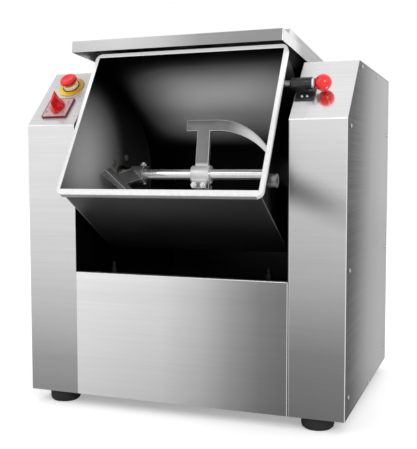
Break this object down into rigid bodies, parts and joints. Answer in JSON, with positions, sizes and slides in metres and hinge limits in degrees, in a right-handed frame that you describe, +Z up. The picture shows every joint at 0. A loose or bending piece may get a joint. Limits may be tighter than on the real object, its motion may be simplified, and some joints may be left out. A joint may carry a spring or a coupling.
{
  "type": "dough mixer",
  "caption": "Horizontal dough mixer: a tilting stainless trough with a paddle shaft between two sheet metal towers, with a hinged lid and tower controls.",
  "frame": {"origin": "middle of the bounding box on the floor, under the four feet", "axes": "+Z up, +Y from the operator to the back, +X along the mixing shaft to the tower with the lock pin and the drive"},
  "size_m": [0.7452, 0.7266, 0.8404],
  "materials": {
    "stainless_panel": "brushed stainless sheet",
    "stainless_trough": "polished, dark inside",
    "stainless_rim": "bright ground rim",
    "polished_steel": "polished",
    "satin_steel": "satin stainless",
    "machined_steel": "machined",
    "zinc_steel": "zinc plated",
    "cast_housing": "cast, painted dark",
    "plate_steel": "dark grey primer",
    "motor_paint": "blue grey enamel",
    "bush_bronze": "plain bronze",
    "black_plastic": "fine matte",
    "red_plastic": "glossy",
    "ivory_plastic": "semi gloss",
    "yellow_plastic": "semi gloss",
    "switch_silver": "satin silver face",
    "black_rubber": "matte"
  },
  "bodies": {
    "machine": {"base_frame": "plate_steel", "feet": "black_rubber", "foot_bolts": "zinc_steel", "left_tower_housing": "stainless_panel", "right_tower_housing": "stainless_panel", "left_side_cover": "stainless_panel", "right_side_cover": "stainless_panel", "side_cover_screws": "zinc_steel", "front_panel": "stainless_panel", "rear_panel": "stainless_panel", "shelf_plate": "stainless_panel", "rest_studs": "zinc_steel", "left_bearing_plate": "plate_steel", "right_bearing_plate": "plate_steel", "left_trunnion_bearing": "cast_housing", "right_trunnion_bearing": "cast_housing", "bearing_bolts": "zinc_steel", "lock_pin_guide": "black_plastic", "lock_pin_bracket": "black_plastic", "countershaft_bearing": "cast_housing", "motor_housing": "motor_paint", "motor_base": "plate_steel", "v_belt": "black_rubber", "estop_ring": "yellow_plastic", "estop_body": "ivory_plastic", "switch_plate": "switch_silver", "switch_body": "black_plastic", "cable_gland": "black_plastic", "hinge_base_leaves": "satin_steel", "hinge_pins": "zinc_steel"},
    "trough": {"trough_shell": "stainless_trough", "trough_left_wall": "stainless_trough", "trough_right_wall": "stainless_trough", "trough_rim": "stainless_rim", "left_trunnion": "machined_steel", "right_trunnion": "machined_steel", "left_shaft_bush": "bush_bronze", "right_shaft_bush": "bush_bronze", "upright_lock_bush": "machined_steel", "tilt_lock_bush": "machined_steel"},
    "mixing_shaft": {"mixing_shaft": "polished_steel", "centre_paddle": "satin_steel", "left_paddle": "satin_steel", "right_paddle": "satin_steel", "paddle_bolts": "zinc_steel", "driven_gear": "machined_steel"},
    "countershaft": {"countershaft": "machined_steel", "pinion": "machined_steel", "large_pulley": "cast_housing"},
    "motor_rotor": {"motor_shaft": "machined_steel", "motor_pulley": "cast_housing"},
    "lid": {"lid_panel": "stainless_panel", "lid_hinge_leaves": "satin_steel"},
    "lock_pin": {"lock_pin_rod": "polished_steel", "lock_pin_collar": "black_plastic", "lock_pin_ball": "red_plastic"},
    "estop_button": {"estop_button": "red_plastic"},
    "switch_knob": {"switch_knob": "red_plastic"}
  },
  "joints": [
    {"name": "trough_tilt", "type": "hinge", "parent": "machine", "child": "trough", "pos_m": [0, -0.06747, 0.5318], "axis": [1, 0, 0], "range_deg": [-58.3, 31.7]},
    {"name": "mixing_shaft_spin", "type": "hinge", "parent": "machine", "child": "mixing_shaft", "pos_m": [0, -0.06747, 0.5318], "axis": [1, 0, 0], "continuous": true},
    {"name": "countershaft_spin", "type": "hinge", "parent": "machine", "child": "countershaft", "pos_m": [0, 0.03043, 0.44965], "axis": [1, 0, 0], "continuous": true},
    {"name": "motor_spin", "type": "hinge", "parent": "machine", "child": "motor_rotor", "pos_m": [0, 0.05733, 0.158], "axis": [1, 0, 0], "continuous": true},
    {"name": "lid_hinge", "type": "hinge", "parent": "machine", "child": "lid", "pos_m": [0, 0.32732, 0.77299], "axis": [-1, 0, 0], "range_deg": [0, 80]},
    {"name": "lock_pin_slide", "type": "slide", "parent": "machine", "child": "lock_pin", "axis": [1, 0, 0], "range_m": [-0.008, 0]},
    {"name": "estop_press", "type": "slide", "parent": "machine", "child": "estop_button", "axis": [0, 0.7096, -0.7046], "range_m": [0, 0.005], "stiffness_N_per_m": 1500, "springref_m": -0.001},
    {"name": "switch_knob_turn", "type": "hinge", "parent": "machine", "child": "switch_knob", "pos_m": [-0.3105, -0.20463, 0.68432], "axis": [0, -0.7096, 0.7046], "range_deg": [-60, 60]}
  ],
  "couplings": [
    {"joint": "countershaft_spin", "follows": "mixing_shaft_spin", "ratio": -4},
    {"joint": "motor_spin", "follows": "mixing_shaft_spin", "ratio": -12}
  ]
}
